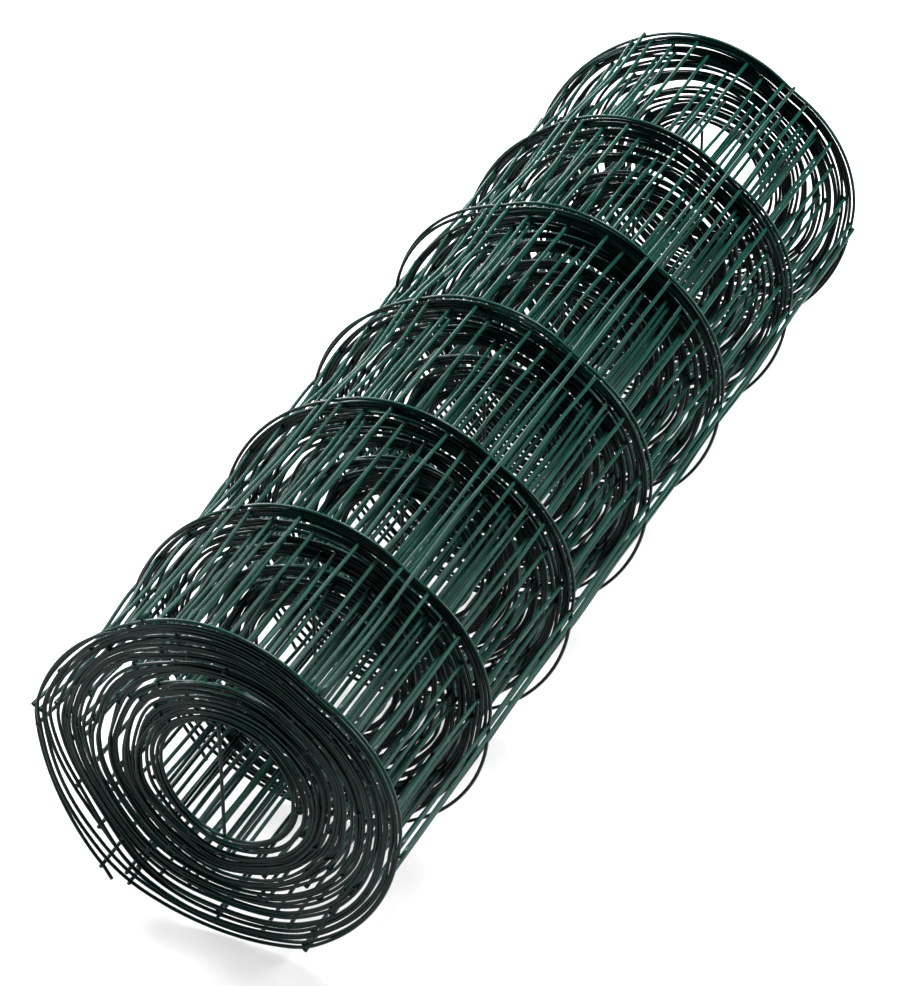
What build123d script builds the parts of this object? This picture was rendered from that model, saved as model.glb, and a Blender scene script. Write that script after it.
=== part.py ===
"""Roll of welded wire fencing, lying on its side.

One length of welded mesh is wound into a tube. It is turned as one solid: a plain bore, a waist over
the cross wires, and a raised hoop wherever the turns of a line wire are piled on one another. Both ends
show the turns as a spiral ridge, drawn with half circles about two centres beside the roll's axis.

Millimetres, +Z up. The roll's axis lies along Y, and the origin is on the floor under its middle.
"""
import os
from math import cos, radians, sin

from build123d import *

# Mesh
mesh_pitch = 100.0  # from one line wire to the next
line_wire_count = 7  # across the width of the mesh
line_wire_diameter = 1.9  # over the plastic coat
cross_wire_overhang = 2.5  # past the middle of the last line wire

# Roll
waist_radius = 95.0  # over the cross wires between two hoops
hoop_height = 5.0  # of the outermost line wire above the waist
hoop_width = 10.0  # at the foot of the pile of line wires
bore_radius = 36.5
turn_count = 19
free_end_angle = 222.0  # where the outermost turn ends, from +X towards +Z

# Worked out from those
hoop_radius = waist_radius + hoop_height
body_length = (line_wire_count - 1) * mesh_pitch
roll_length = body_length + 2 * cross_wire_overhang
wall = waist_radius - bore_radius
turn_pitch = wall / (turn_count + 2)
centre_shift = turn_pitch / 4
groove_depth = line_wire_diameter / 2


def section_plane(angle, shift):
    """Plane through the roll's axis, moved along itself: X runs out at the angle, Y along the roll."""
    out = Vector(cos(radians(angle)), 0, sin(radians(angle)))
    axis_point = Vector(0, 0, hoop_radius)
    return Plane(origin=axis_point + out * shift, x_dir=out, z_dir=out.cross(Vector(0, 1, 0)))


def ridge_outline(outer_radius):
    """Section of the ridges on the far end: a plate seated in the body, with one crest for each turn."""
    inner_radius = outer_radius - turn_count * turn_pitch
    seat = body_length / 2 - line_wire_diameter
    crest = roll_length / 2
    valley = crest - groove_depth
    points = [(inner_radius, seat), (inner_radius, valley)]
    for turn in range(turn_count):
        turn_start = inner_radius + turn * turn_pitch
        points += [(turn_start + turn_pitch / 2, crest), (turn_start + turn_pitch, valley)]
    return points + [(outer_radius, seat)]


# Each half turn is half a pitch smaller than the one outside it and is drawn about the other centre,
# which keeps the spiral unbroken. The outermost one stops at the free end of the mesh.
outer_half_radius = waist_radius - turn_pitch / 2 - centre_shift
half_turns = {
    free_end_angle - 180: outer_half_radius,
    free_end_angle: outer_half_radius - turn_pitch / 2,
}

with BuildPart() as mesh_roll:
    body_plane = section_plane(0, 0)
    with BuildSketch(body_plane):
        with Locations((waist_radius, 0)):
            with GridLocations(mesh_pitch, mesh_pitch, 1, line_wire_count):
                Polygon((0, -hoop_width / 2), (hoop_height, 0), (0, hoop_width / 2), align=None)
        with Locations((bore_radius, 0)):
            Rectangle(wall, body_length, align=(Align.MIN, Align.CENTER))
            Rectangle(hoop_radius, body_length, align=(Align.MIN, Align.CENTER), mode=Mode.INTERSECT)
    revolve(axis=Axis(body_plane.origin, (0, -1, 0)))

    for start_angle, outer_radius in half_turns.items():
        half_plane = section_plane(start_angle, -centre_shift)
        with BuildSketch(half_plane):
            with BuildLine():
                Polyline(*ridge_outline(outer_radius), close=True)
            make_face()
            mirror(about=Plane.XZ)
        revolve(axis=Axis(half_plane.origin, (0, -1, 0)), revolution_arc=180)

mesh_roll.part.label = "mesh_roll"
os.makedirs("parts", exist_ok=True)
export_step(mesh_roll.part, "parts/mesh_roll.step")
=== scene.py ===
"""Roll of green plastic-coated welded wire fencing, lying on a pale floor.

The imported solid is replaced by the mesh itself: line wires wound turn on turn, and the cross wires
welded to the outside of every turn. Metres and degrees. The roll's axis lies along Y, and angles round
it run from +X towards +Z, which is the way the mesh winds outwards.
"""
import math

import bpy
import numpy as np
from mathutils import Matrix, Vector


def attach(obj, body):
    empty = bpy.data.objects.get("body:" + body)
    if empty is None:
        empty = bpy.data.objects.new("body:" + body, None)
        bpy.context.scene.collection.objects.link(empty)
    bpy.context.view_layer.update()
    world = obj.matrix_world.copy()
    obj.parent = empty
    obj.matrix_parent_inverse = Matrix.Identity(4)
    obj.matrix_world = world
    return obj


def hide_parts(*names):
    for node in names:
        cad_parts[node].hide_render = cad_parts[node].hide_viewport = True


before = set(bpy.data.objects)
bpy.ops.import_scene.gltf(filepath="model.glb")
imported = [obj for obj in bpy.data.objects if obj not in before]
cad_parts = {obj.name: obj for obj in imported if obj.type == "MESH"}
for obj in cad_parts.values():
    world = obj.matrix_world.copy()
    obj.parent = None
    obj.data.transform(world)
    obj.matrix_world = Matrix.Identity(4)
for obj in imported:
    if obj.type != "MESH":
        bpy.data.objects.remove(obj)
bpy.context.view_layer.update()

RNG = np.random.default_rng(24)
TURN = 360

# Mesh: wires are given by their diameter over the coat
MESH_PITCH = 0.100
LINE_WIRES = 7
LINE_WIRE = 0.0019
CROSS_WIRE = 0.0021
CROSS_OVERHANG = 0.0006  # past the middle of the end line wires
WELD_SINK_SHARE = 0.12  # how deep the two wires of a weld are pressed into one another
BEAD_RADIUS = 0.00135  # of the lump of coat on a weld
BEAD_SIZE_SHARES = (0.9, 1.1)

# Roll: the places of the first and last welds, the bore and how far it lies off the axis along X and Z
FULL_TURNS = 33
INNER_WELD_ANGLE = 94.0
OUTER_WELD_ANGLE = 228.5
BORE_RADIUS = 0.0365
BORE_SHIFT = (0.0036, 0.0059)
OUTER_RADIUS = 0.0975

# Last turn, weld by weld from its free end: how far each weld lies off the outer radius, and how far
# the line wires arch out of round between that weld and the next
WELD_OFFSETS = (0.0040, 0.0040, -0.0005, -0.0020, -0.0010, 0.0005, 0.0000, 0.0005)
WELD_ARCHES = (-0.0042, -0.0030, 0.0036, 0.0036, -0.0010, -0.0030, 0.0000)

# Length of a cell along the smooth turn, as a share of the pitch, turn by turn from the free end inwards
CELL_SHARES = (1.0, 1.007, 1.035, 0.986, 1.023, 1.0, 0.990, 0.991, 0.988, 0.986, 0.999)

# Slack that each turn takes up, as a share of an inner turn's, turn by turn from the free end inwards
LOOSE_TURN_SHARES = (2.2, 0.8, 1.4, 1.6, 1.4, 1.2, 1.0)
# Side on which the outer turns take up more, the most so at this many turns from the free end
LOOSE_SIDE_ANGLE = 240.0
LOOSE_SIDE_SHARE = 4.5
LOOSE_SIDE_DEPTH = 3.0
# Side on which the outer turns lie tight, fading over this many turns inwards
TIGHT_SIDE_ANGLE = 146.0
TIGHT_SIDE_WIDTH = 32.0
TIGHT_SIDE_SHARE = 0.94
TIGHT_SIDE_DEPTH = 7.0
# First turns, which lie tight round the bore, fading over this many turns outwards
TIGHT_BORE_SHARE = 0.6
TIGHT_BORE_DEPTH = 2.5
# Seeded unevenness of the slack, and the angle over which it changes
UNEVEN_SHARE = 0.9
UNEVEN_LENGTH = 26.0
# Least gap between turns, as a share of a line wire, and what a cross wire below adds, as a share of it
SEAT_SHARE = 0.5
BUMP_SHARE = 0.35
BUMP_WIDTH = 11.0
# Angles over which the turns are smoothed and meet the two ends of the mesh, and the least step up there
SMOOTHING = 2.5
END_BLEND = 70.0
LEAST_RISE = 0.0002
# Angle between two places along the winding, and the rounds in which its turns and welds settle
STEP = 1.0
ROUNDS = 4
SIDE_POWER = 4  # how sharply a side's own looseness or bow fades round the roll
KERNEL_REACH = 4

# Arches between welds: seeded ones that all line wires share, calmer over the last turns, and each one's own
SPAN_ARCH = 0.0011
CALM_TURNS = 4.0
CALM_SHARE = 0.2
WIRE_ARCH = 0.0005
# Further arches, as (line wire counted from 0 at the front, span counted from 0 at the free end, arch)
LOOSE_SPANS = (
    (1, 4, 0.0010), (2, 4, 0.0015), (3, 4, 0.0015), (4, 4, 0.0010), (5, 4, 0.0010),
    (1, 10, -0.0050), (2, 10, -0.0085), (3, 10, -0.0080), (4, 10, -0.0060), (5, 10, -0.0040),
    (1, 16, -0.0040), (2, 16, -0.0070), (3, 16, -0.0060), (4, 16, -0.0050), (5, 16, -0.0030),
    (3, 1, 0.0030), (4, 1, 0.0060), (4, 7, 0.0050), (3, 7, 0.0030), (2, 1, 0.0020),
)
# How far the turns of a line wire lie to either side of its place, and the angle over which that changes
ASIDE = 0.0006
ASIDE_LENGTH = 40.0

# How far the cross wires bow between two line wires, a little more inwards than outwards
BOW = 0.0006
BOW_LEAN_SHARE = -0.3
# How much further inwards they bow on one side, and how far sideways there
BOW_SIDE = 0.0050
BOW_SIDE_ANGLE = 150.0
BOW_SIDE_SHARES = (0.3, 1)
BOW_ASIDE_SHARE = 1 / 3

# Tails of the line wires past the last welds. The inner one bends down across the bore and leans a little,
# and the outer one springs off the turn.
INNER_TAIL = 0.067
INNER_TAIL_BEND = 0.004
INNER_TAIL_LEAN = 0.4
OUTER_TAIL = 0.009
OUTER_TAIL_SPRING = 10.0
INNER_TAIL_POINTS = 24
BEND_POINTS = 7
OUTER_TAIL_POINTS = 8

# Fineness of the meshes
TUBE_SIDES = 8
BEAD_RINGS = 4
LINE_STEP = 0.003
CROSS_STEP = 0.008

# Coat: colour and gloss change a little from patch to patch, under a fine grain
COAT_DARK = (0.0004, 0.0108, 0.0077, 1)
COAT_LIGHT = (0.0007, 0.0232, 0.0167, 1)
COAT_RAMP = (0.3, 0.75)
COAT_ROUGHNESS = (0.24, 0.40)
COAT_SPECULAR = 0.13
PATCH_SCALE = 45.0
PATCH_DETAIL = 4.0
GRAIN_SCALE = 900.0
GRAIN_DETAIL = 2.0
GRAIN_STRENGTH = 0.06
GRAIN_DEPTH = 0.0002

# Camera fitted to the seven hoops of the photograph, and placed from the roll's axis
PHOTO_WIDTH = 900
PHOTO_HEIGHT = 986
FOCAL_PIXELS = 3965.7
SENSOR = 36.0
CAMERA_FROM_AXIS = (0.72105, -1.55463, 1.26366)
CAMERA_AZIMUTH = 25.472
CAMERA_ELEVATION = 36.957

# Studio
FLOOR_COLOUR = (0.28, 0.28, 0.28, 1)
FLOOR_ROUGHNESS = 0.9
FLOOR_GLOW = 0.66
BACKDROP_RADIUS = 6.0
BACKDROP_HEIGHT = 6.0
BACKDROP_SIDES = 64
WHITE = (1, 1, 1, 1)
ROOM_LIGHT = 0.005
# Soft lights, as (name, place, point aimed at, size, power)
LIGHTS = (
    ("overhead_box", (0.3, 0.5, 2.0), (0, 0, 0.1), 0.8, 155),
    ("left_box", (-1.6, 0.5, 1.0), (0, 0, 0.1), 0.6, 85),
    ("right_box", (1.6, 0.7, 1.0), (0, 0, 0.1), 0.6, 60),
    ("back_box", (-1.3, 1.9, 1.0), (0, 0, 0.1), 0.6, 50),
    ("front_box", (-1.6, -1.3, 0.6), (0, -0.3, 0.1), 0.7, 14),
)


def smooth(values, sigma):
    """Gaussian smoothing of a row of values, with its ends held."""
    reach = int(KERNEL_REACH * sigma)
    kernel = np.exp(-0.5 * (np.arange(-reach, reach + 1) / sigma) ** 2)
    padded = np.concatenate([np.full(reach, values[0]), values, np.full(reach, values[-1])])
    return np.convolve(padded, kernel / kernel.sum(), mode="valid")


def slow_noise(count, sigma):
    """Row of seeded noise that changes slowly, with a spread of one."""
    reach = int(KERNEL_REACH * sigma)
    row = smooth(RNG.normal(0, 1, count + 2 * reach), sigma)[reach:-reach]
    return row / row.std()


def smooth_between(places, knots, values):
    """Cubic run through values at knots, level beyond the last ones."""
    slope = np.gradient(values, knots)
    i = np.clip(np.searchsorted(knots, places) - 1, 0, len(knots) - 2)
    h = knots[i + 1] - knots[i]
    t = np.clip((places - knots[i]) / h, 0, 1)
    return ((2 * t**3 - 3 * t**2 + 1) * values[i] + (t**3 - 2 * t**2 + t) * h * slope[i]
            + (3 * t**2 - 2 * t**3) * values[i + 1] + (t**3 - t**2) * h * slope[i + 1])


def on_section(angle, radius):
    """Points of the roll's section, as X and Z from the roll's axis."""
    return np.stack([radius * np.cos(np.radians(angle)), radius * np.sin(np.radians(angle))], -1)


def resample(points, step):
    """The same path with evenly spaced points."""
    length = np.concatenate([[0], np.cumsum(np.linalg.norm(np.diff(points, axis=0), axis=1))])
    even = np.linspace(0, length[-1], max(2, int(round(length[-1] / step)) + 1))
    return np.stack([np.interp(even, length, points[:, i]) for i in range(points.shape[1])], -1)


class Winding:
    """Radius of the wound mesh along its length, and where its cross wires are welded on.

    Places along it are angles from the inner weld outwards, so a whole turn further is the turn above.
    """

    def __init__(self):
        self.total = TURN * FULL_TURNS + (OUTER_WELD_ANGLE - INNER_WELD_ANGLE) % TURN
        self.along = np.arange(0, self.total + STEP / 2, STEP)
        self.angle = INNER_WELD_ANGLE + self.along
        self.turns_left = (self.total - self.along) / TURN
        self.per_turn = round(TURN / STEP)
        self.pitch = (OUTER_RADIUS - BORE_RADIUS) / (FULL_TURNS + 0.5)
        self.radius = np.interp(self.along, [0, self.total], [BORE_RADIUS, OUTER_RADIUS])
        self.unevenness = np.exp(UNEVEN_SHARE * slow_noise(len(self.along), UNEVEN_LENGTH / STEP))
        for _ in range(ROUNDS):
            self.place_welds()
            self.pack_turns()
        self.place_welds()
        calm = np.clip((self.total - self.welds[1:]) / TURN / CALM_TURNS, CALM_SHARE, 1)
        self.span_arches = calm * RNG.normal(0, SPAN_ARCH, len(self.welds) - 1)
        self.wire_y = []
        for wire in range(LINE_WIRES):
            place = (wire - (LINE_WIRES - 1) / 2) * MESH_PITCH
            self.wire_y.append(place + ASIDE * slow_noise(len(self.along), ASIDE_LENGTH / STEP))

    def place_welds(self):
        """Welds a cell apart along the wound mesh, from one end to the other."""
        piece = np.hypot(np.diff(self.radius), self.radius[1:] * np.diff(np.radians(self.along)))
        piece = piece / np.interp(self.turns_left[1:], np.arange(len(CELL_SHARES)) + 0.5, CELL_SHARES)
        length = np.concatenate([[0], np.cumsum(piece)])
        cells = round(length[-1] / MESH_PITCH)
        self.welds = np.interp(np.linspace(0, length[-1], cells + 1), length, self.along)

    def outer_turn(self):
        """Radius of the last turn, from its welds and the arches between them."""
        last = self.welds[::-1][: len(WELD_OFFSETS)]
        here = self.along[-self.per_turn - 1:]
        radius = OUTER_RADIUS + np.interp(here, last[::-1], WELD_OFFSETS[::-1])
        for near, far, arch in zip(last, last[1:], WELD_ARCHES):
            share = np.clip((here - far) / (near - far), 0, 1)
            radius = radius + arch * 4 * share * (1 - share)
        return radius + self.pitch * ((here - self.total) / TURN + 0.5)

    def bore_turn(self):
        """Radius of the first turn, round a bore that lies off the roll's axis."""
        angle = np.radians(self.angle[: self.per_turn])
        growth = self.pitch * (self.along[: self.per_turn] / TURN - 0.5)
        return BORE_RADIUS + BORE_SHIFT[0] * np.cos(angle) + BORE_SHIFT[1] * np.sin(angle) + growth

    def seats(self):
        """Least gap to the turn below, wider over its cross wires."""
        bump = np.zeros_like(self.along)
        for weld in self.welds:
            bump += np.exp(-0.5 * ((self.along - weld - TURN) / BUMP_WIDTH) ** 2)
        return LINE_WIRE * SEAT_SHARE + CROSS_WIRE * BUMP_SHARE * bump

    def looseness(self):
        """Weight with which each place takes up slack."""
        weight = np.interp(self.turns_left, np.arange(len(LOOSE_TURN_SHARES)) + 0.5, LOOSE_TURN_SHARES)
        side = 0.5 + 0.5 * np.cos(np.radians(self.angle - LOOSE_SIDE_ANGLE))
        depth = self.turns_left / LOOSE_SIDE_DEPTH
        weight = weight + LOOSE_SIDE_SHARE * side**SIDE_POWER * depth * np.exp(1 - depth)
        from_tight = (self.angle - TIGHT_SIDE_ANGLE + TURN / 2) % TURN - TURN / 2
        tight = np.exp(-0.5 * (from_tight / TIGHT_SIDE_WIDTH) ** 2 - self.turns_left / TIGHT_SIDE_DEPTH)
        weight = weight * self.unevenness * (1 - TIGHT_SIDE_SHARE * tight)
        return weight * (1 - TIGHT_BORE_SHARE * np.exp(-self.along / TURN / TIGHT_BORE_DEPTH))

    def pack_turns(self):
        """Lays each turn on the one below, and shares out the slack between the bore and the last turn."""
        n = self.per_turn
        seat = self.seats()
        weight = self.looseness()
        first = self.bore_turn()
        last = self.outer_turn()
        # A column is every place at one angle, from the bore outwards
        columns = [np.arange(start, len(self.along), n) for start in range(n)]
        goals = [last[column[-1] - (len(self.along) - len(last))] for column in columns]
        slack = np.array([goal - first[i] - seat[columns[i][1:]].sum() for i, goal in enumerate(goals)])
        # The two ends of the mesh step up by just what the turn beside them rises
        end_rise = max(last[-1] - last[0] - seat[-1], LEAST_RISE)
        start_rise = max(self.pitch - seat[n], LEAST_RISE)
        near_end = np.clip(1 - self.turns_left * TURN / END_BLEND, 0, 1)
        near_start = np.clip(1 - np.abs(self.along - TURN) / END_BLEND, 0, 1)
        past_end = len(self.along) % n
        for _ in range(ROUNDS):
            scale = slack / np.array([weight[column[1:]].sum() for column in columns])
            weight = weight * (end_rise / scale[past_end] / weight[-1]) ** near_end
            weight = weight * (start_rise / scale[-1] / weight[n]) ** near_start
        radius = np.zeros_like(self.along)
        for i, column in enumerate(columns):
            share = weight[column[1:]] / weight[column[1:]].sum()
            gaps = seat[column[1:]] + slack[i] * share
            radius[column] = first[i] + np.concatenate([[0], np.cumsum(gaps)])
        self.radius = smooth(radius, SMOOTHING / STEP)

    def arch(self, arches):
        """Offset of a line wire all along it, from one arch for each span between welds."""
        span = np.clip(np.searchsorted(self.welds, self.along) - 1, 0, len(self.welds) - 2)
        share = (self.along - self.welds[span]) / (self.welds[span + 1] - self.welds[span])
        return arches[span] * 4 * share * (1 - share)


def inner_tail(start):
    """Section of the inner tail, from its tip up to the first weld: it hangs down and bends at the top."""
    lean = math.radians(RNG.normal(0, INNER_TAIL_LEAN))
    bend = np.radians(np.linspace(90, 0, BEND_POINTS))
    corner = start + INNER_TAIL_BEND * np.stack([np.cos(bend), np.sin(bend) - 1], -1)
    down = np.array([math.sin(lean), -math.cos(lean)])
    hanging = corner[-1] + down * INNER_TAIL * np.linspace(1, 0, INNER_TAIL_POINTS)[:, None]
    return np.concatenate([hanging, corner[::-1][1:]])


def outer_tail(wound):
    """Section of the outer tail, straight on from the last weld and a little outwards."""
    heading = wound[-1] - wound[-4]
    heading = heading / np.linalg.norm(heading)
    spring = math.radians(OUTER_TAIL_SPRING)
    heading = heading * math.cos(spring) + np.array([heading[1], -heading[0]]) * math.sin(spring)
    return wound[-1] + heading * OUTER_TAIL * np.linspace(0, 1, OUTER_TAIL_POINTS)[1:, None]


def line_wire_path(winding, wire):
    """Path of one line wire, from its inner tail to its free outer end."""
    spans = len(winding.welds) - 1
    arches = winding.span_arches + RNG.normal(0, WIRE_ARCH, spans)
    for loose_wire, span, arch in LOOSE_SPANS:
        if loose_wire == wire:
            arches[spans - 1 - span] += arch
    wound = on_section(winding.angle, winding.radius + winding.arch(arches))
    inner = inner_tail(wound[0])
    outer = outer_tail(wound)
    section = np.concatenate([inner, wound[1:], outer])
    wire_y = winding.wire_y[wire]
    y = np.concatenate([np.full(len(inner), wire_y[0]), wire_y[1:], np.full(len(outer), wire_y[-1])])
    return resample(np.stack([section[:, 0], y, section[:, 1]], -1), LINE_STEP)


def cross_wire_path(angle, radius, hoops):
    """Path of one cross wire: held at every line wire, and a little bent between them."""
    middles = (hoops[1:] + hoops[:-1]) / 2
    spans = len(middles)
    on_side = max(0, math.cos(math.radians(angle - BOW_SIDE_ANGLE))) ** SIDE_POWER
    start = hoops[0] - CROSS_OVERHANG
    end = hoops[-1] + CROSS_OVERHANG
    y = np.linspace(start, end, round((end - start) / CROSS_STEP) + 1)
    knots = np.sort(np.concatenate([hoops, middles]))
    out = np.zeros(len(knots))
    aside = np.zeros(len(knots))
    out[1::2] = BOW * RNG.normal(BOW_LEAN_SHARE, 1, spans)
    out[1::2] -= BOW_SIDE * on_side * RNG.uniform(*BOW_SIDE_SHARES, spans)
    aside[1::2] = (BOW + BOW_SIDE * BOW_ASIDE_SHARE * on_side) * RNG.normal(0, 1, spans)
    outwards = np.array([math.cos(math.radians(angle)), math.sin(math.radians(angle))])
    sideways = np.array([-outwards[1], outwards[0]])
    section = outwards * (radius + smooth_between(y, knots, out))[:, None]
    section = section + sideways * smooth_between(y, knots, aside)[:, None]
    return np.stack([section[:, 0], y, section[:, 1]], -1)


def tube(path, radius):
    """Vertices and quads of a round tube along a path, open at both ends."""
    tangent = np.gradient(path, axis=0)
    tangent /= np.linalg.norm(tangent, axis=1)[:, None]
    normal = np.zeros_like(path)
    seed = np.array([0.0, 1.0, 0.0]) if abs(tangent[0, 1]) < 0.9 else np.array([1.0, 0.0, 0.0])
    normal[0] = seed - tangent[0] * (seed @ tangent[0])
    normal[0] /= np.linalg.norm(normal[0])
    for i in range(1, len(path)):
        step = normal[i - 1] - tangent[i] * (normal[i - 1] @ tangent[i])
        normal[i] = step / np.linalg.norm(step)
    binormal = np.cross(tangent, normal)
    turn = np.linspace(0, 2 * np.pi, TUBE_SIDES, endpoint=False)[None, :, None]
    ring = normal[:, None, :] * np.cos(turn) + binormal[:, None, :] * np.sin(turn)
    vertices = (path[:, None, :] + radius * ring).reshape(-1, 3)
    first = np.arange(len(path) - 1)[:, None] * TUBE_SIDES
    here = first + np.arange(TUBE_SIDES)[None, :]
    after = first + (np.arange(TUBE_SIDES)[None, :] + 1) % TUBE_SIDES
    quads = np.stack([here, after, after + TUBE_SIDES, here + TUBE_SIDES], -1)
    return vertices, quads.reshape(-1, 4)


def add_object(name, vertices, faces, smooth_faces):
    """New object of the scene, with smooth shading on the faces that are marked for it."""
    mesh = bpy.data.meshes.new(name)
    mesh.from_pydata(np.asarray(vertices, float).tolist(), [], faces)
    mesh.polygons.foreach_set("use_smooth", smooth_faces)
    mesh.update()
    added = bpy.data.objects.new(name, mesh)
    bpy.context.scene.collection.objects.link(added)
    return added


def wire_object(name, paths, diameter):
    """One object from the paths of its wires, each a round tube closed by a flat cap at both ends."""
    vertices, quads, caps = [], [], []
    start = 0
    for path in paths:
        tube_vertices, tube_quads = tube(path, diameter / 2)
        vertices.append(tube_vertices)
        quads.append(tube_quads + start)
        end = start + len(tube_vertices)
        caps.append(list(range(start + TUBE_SIDES - 1, start - 1, -1)))
        caps.append(list(range(end - TUBE_SIDES, end)))
        start = end
    faces = np.concatenate(quads).tolist() + caps
    smooth_faces = np.ones(len(faces), bool)
    smooth_faces[-len(caps):] = False
    return add_object(name, np.concatenate(vertices), faces, smooth_faces)


def bead_object(name, places):
    """One object from many small round beads."""
    corners, faces = [], []
    for ring in range(1, BEAD_RINGS):
        tilt = math.pi * ring / BEAD_RINGS
        for side in range(TUBE_SIDES):
            turn = 2 * math.pi * side / TUBE_SIDES
            corners.append((math.sin(tilt) * math.cos(turn), math.cos(tilt), math.sin(tilt) * math.sin(turn)))
    corners += [(0.0, 1.0, 0.0), (0.0, -1.0, 0.0)]
    north = len(corners) - 2
    south = len(corners) - 1
    last_ring = (BEAD_RINGS - 2) * TUBE_SIDES
    for side in range(TUBE_SIDES):
        after = (side + 1) % TUBE_SIDES
        faces.append((north, after, side))
        faces.append((south, last_ring + side, last_ring + after))
        for ring in range(BEAD_RINGS - 2):
            here = ring * TUBE_SIDES
            faces.append((here + side, here + after, here + TUBE_SIDES + after, here + TUBE_SIDES + side))
    unit = np.array(corners)
    sizes = BEAD_RADIUS * RNG.uniform(*BEAD_SIZE_SHARES, len(places))
    vertices = (places[:, None, :] + unit[None] * sizes[:, None, None]).reshape(-1, 3)
    all_faces = []
    for bead in range(len(places)):
        start = bead * len(unit)
        all_faces += [tuple(start + corner for corner in face) for face in faces]
    return add_object(name, vertices, all_faces, np.ones(len(all_faces), bool))


def coat_material():
    """Dark green plastic coat: semi-gloss, a little uneven in colour and gloss."""
    material = bpy.data.materials.new("green_coat")
    material.use_nodes = True
    nodes = material.node_tree.nodes
    links = material.node_tree.links
    shader = nodes["Principled BSDF"]
    shader.inputs["Specular IOR Level"].default_value = COAT_SPECULAR
    place = nodes.new("ShaderNodeTexCoord")
    patches = nodes.new("ShaderNodeTexNoise")
    patches.inputs["Scale"].default_value = PATCH_SCALE
    patches.inputs["Detail"].default_value = PATCH_DETAIL
    links.new(place.outputs["Object"], patches.inputs["Vector"])
    colour = nodes.new("ShaderNodeValToRGB")
    for stop, position, shade in zip(colour.color_ramp.elements, COAT_RAMP, (COAT_DARK, COAT_LIGHT)):
        stop.position = position
        stop.color = shade
    links.new(patches.outputs["Fac"], colour.inputs["Fac"])
    links.new(colour.outputs["Color"], shader.inputs["Base Color"])
    gloss = nodes.new("ShaderNodeMapRange")
    gloss.inputs["To Min"].default_value = COAT_ROUGHNESS[0]
    gloss.inputs["To Max"].default_value = COAT_ROUGHNESS[1]
    links.new(patches.outputs["Fac"], gloss.inputs["Value"])
    links.new(gloss.outputs["Result"], shader.inputs["Roughness"])
    grain = nodes.new("ShaderNodeTexNoise")
    grain.inputs["Scale"].default_value = GRAIN_SCALE
    grain.inputs["Detail"].default_value = GRAIN_DETAIL
    links.new(place.outputs["Object"], grain.inputs["Vector"])
    bump = nodes.new("ShaderNodeBump")
    bump.inputs["Strength"].default_value = GRAIN_STRENGTH
    bump.inputs["Distance"].default_value = GRAIN_DEPTH
    links.new(grain.outputs["Fac"], bump.inputs["Height"])
    links.new(bump.outputs["Normal"], shader.inputs["Normal"])
    return material


def floor_material():
    """Pale floor and wall, which glow a little like a lit studio table."""
    material = bpy.data.materials.new("pale_floor")
    material.use_nodes = True
    shader = material.node_tree.nodes["Principled BSDF"]
    shader.inputs["Base Color"].default_value = FLOOR_COLOUR
    shader.inputs["Roughness"].default_value = FLOOR_ROUGHNESS
    shader.inputs["Emission Color"].default_value = WHITE
    shader.inputs["Emission Strength"].default_value = FLOOR_GLOW
    return material


def build_roll():
    """All wires of the roll, set down on the floor. Returns the height of the roll's axis."""
    winding = Winding()
    line_paths = [line_wire_path(winding, wire) for wire in range(LINE_WIRES)]
    weld_angle = INNER_WELD_ANGLE + winding.welds
    weld_radius = np.interp(winding.welds, winding.along, winding.radius)
    weld_y = np.stack([np.interp(winding.welds, winding.along, y) for y in winding.wire_y], -1)
    seat = (LINE_WIRE + CROSS_WIRE) / 2 * (1 - WELD_SINK_SHARE)
    cross_paths = [cross_wire_path(a, r + seat, y) for a, r, y in zip(weld_angle, weld_radius, weld_y)]
    bead_section = on_section(weld_angle, weld_radius + seat / 2)
    bead_x = np.broadcast_to(bead_section[:, :1], weld_y.shape)
    bead_z = np.broadcast_to(bead_section[:, 1:], weld_y.shape)
    bead_places = np.stack([bead_x, weld_y, bead_z], -1).reshape(-1, 3)
    axis_height = CROSS_WIRE / 2 - min(path[:, 2].min() for path in line_paths + cross_paths)
    lift = np.array([0.0, 0.0, axis_height])
    pieces = []
    for wire, path in enumerate(line_paths):
        pieces.append(wire_object(f"line_wire_{wire + 1}", [path + lift], LINE_WIRE))
    pieces.append(wire_object("cross_wires", [path + lift for path in cross_paths], CROSS_WIRE))
    pieces.append(bead_object("weld_beads", bead_places + lift))
    coat = coat_material()
    for piece in pieces:
        piece.data.materials.append(coat)
        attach(piece, "root")
        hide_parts("mesh_roll")
    return axis_height


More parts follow.
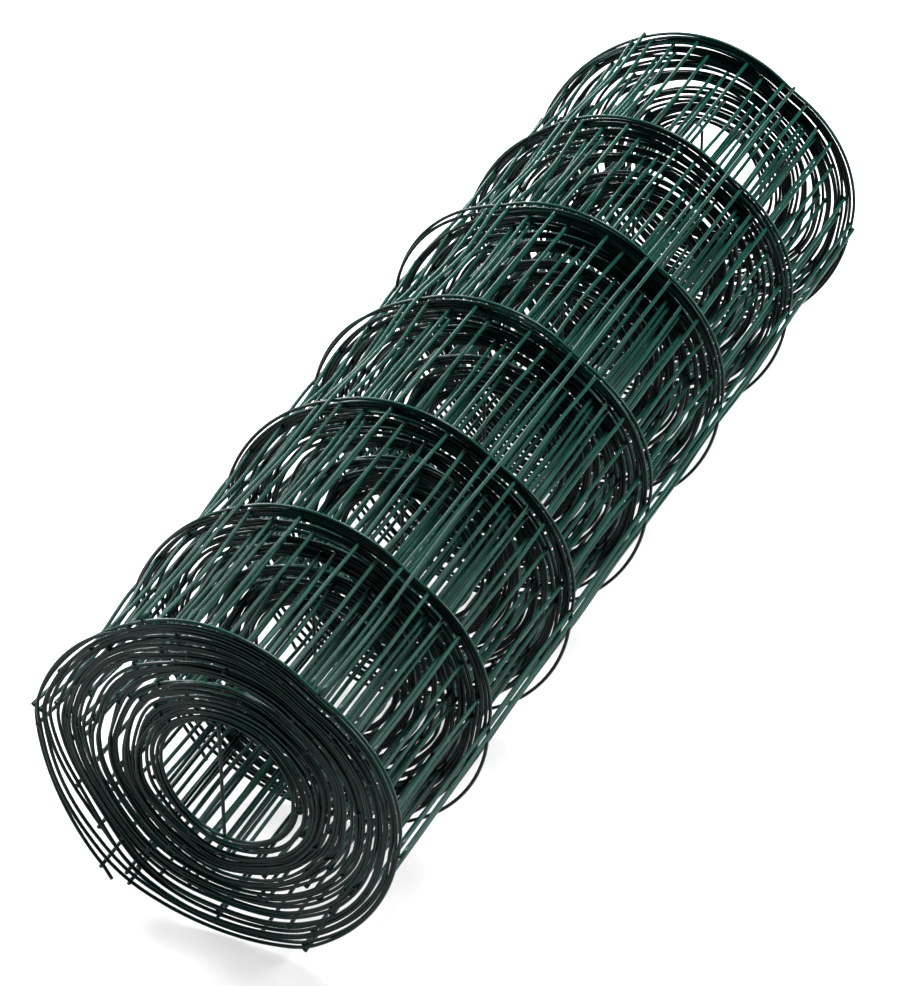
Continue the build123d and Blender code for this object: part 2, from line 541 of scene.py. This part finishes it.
def add_camera(axis_height):
    """Camera at the photograph's place, angle and focal length."""
    data = bpy.data.cameras.new("camera")
    data.sensor_width = SENSOR
    data.lens = SENSOR * FOCAL_PIXELS / max(PHOTO_WIDTH, PHOTO_HEIGHT)
    camera = bpy.data.objects.new("camera", data)
    bpy.context.scene.collection.objects.link(camera)
    azimuth = math.radians(CAMERA_AZIMUTH)
    elevation = math.radians(CAMERA_ELEVATION)
    level = math.cos(elevation)
    back = Vector((math.sin(azimuth) * level, -math.cos(azimuth) * level, math.sin(elevation)))
    camera.location = Vector(CAMERA_FROM_AXIS) + Vector((0, 0, axis_height))
    camera.rotation_mode = "QUATERNION"
    camera.rotation_quaternion = (-back).to_track_quat("-Z", "Y")
    bpy.context.scene.camera = camera


def add_light(name, place, target, size, power):
    """Soft square light aimed at a point."""
    data = bpy.data.lights.new(name, "AREA")
    data.shape = "SQUARE"
    data.size = size
    data.energy = power
    light = bpy.data.objects.new(name, data)
    light.location = place
    light.rotation_mode = "QUATERNION"
    light.rotation_quaternion = (Vector(target) - Vector(place)).to_track_quat("-Z", "Y")
    bpy.context.scene.collection.objects.link(light)


def stage_object(name, points, faces, material):
    """One plain sheet of the studio, which is no part of the roll."""
    sheet = add_object(name, points, faces, np.zeros(len(faces), bool))
    sheet.data.materials.append(material)
    return sheet


def add_studio():
    """Pale floor, a pale wall all round it, and soft lights."""
    pale = floor_material()
    turns = [2 * math.pi * side / BACKDROP_SIDES for side in range(BACKDROP_SIDES)]
    foot = [(BACKDROP_RADIUS * math.cos(turn), BACKDROP_RADIUS * math.sin(turn), 0) for turn in turns]
    head = [(x, y, BACKDROP_HEIGHT) for x, y, _ in foot]
    panels = []
    for side in range(BACKDROP_SIDES):
        after = (side + 1) % BACKDROP_SIDES
        panels.append((after, side, BACKDROP_SIDES + side, BACKDROP_SIDES + after))
    floor = stage_object("floor", foot, [tuple(range(BACKDROP_SIDES))], pale)
    wall = stage_object("backdrop", foot + head, panels, pale)
    # The floor lights the wires only as a reflection, so the inside of the roll stays dark
    floor.visible_diffuse = False
    # The wall is only there to be looked at, and throws no light on the wires
    wall.visible_diffuse = False
    wall.visible_glossy = False
    wall.visible_shadow = False
    for light in LIGHTS:
        add_light(*light)
    world = bpy.data.worlds.new("room")
    world.use_nodes = True
    room = world.node_tree.nodes["Background"]
    room.inputs["Color"].default_value = WHITE
    room.inputs["Strength"].default_value = ROOM_LIGHT
    bpy.context.scene.world = world
    bpy.context.scene.view_settings.view_transform = "Standard"


add_camera(build_roll())
add_studio()
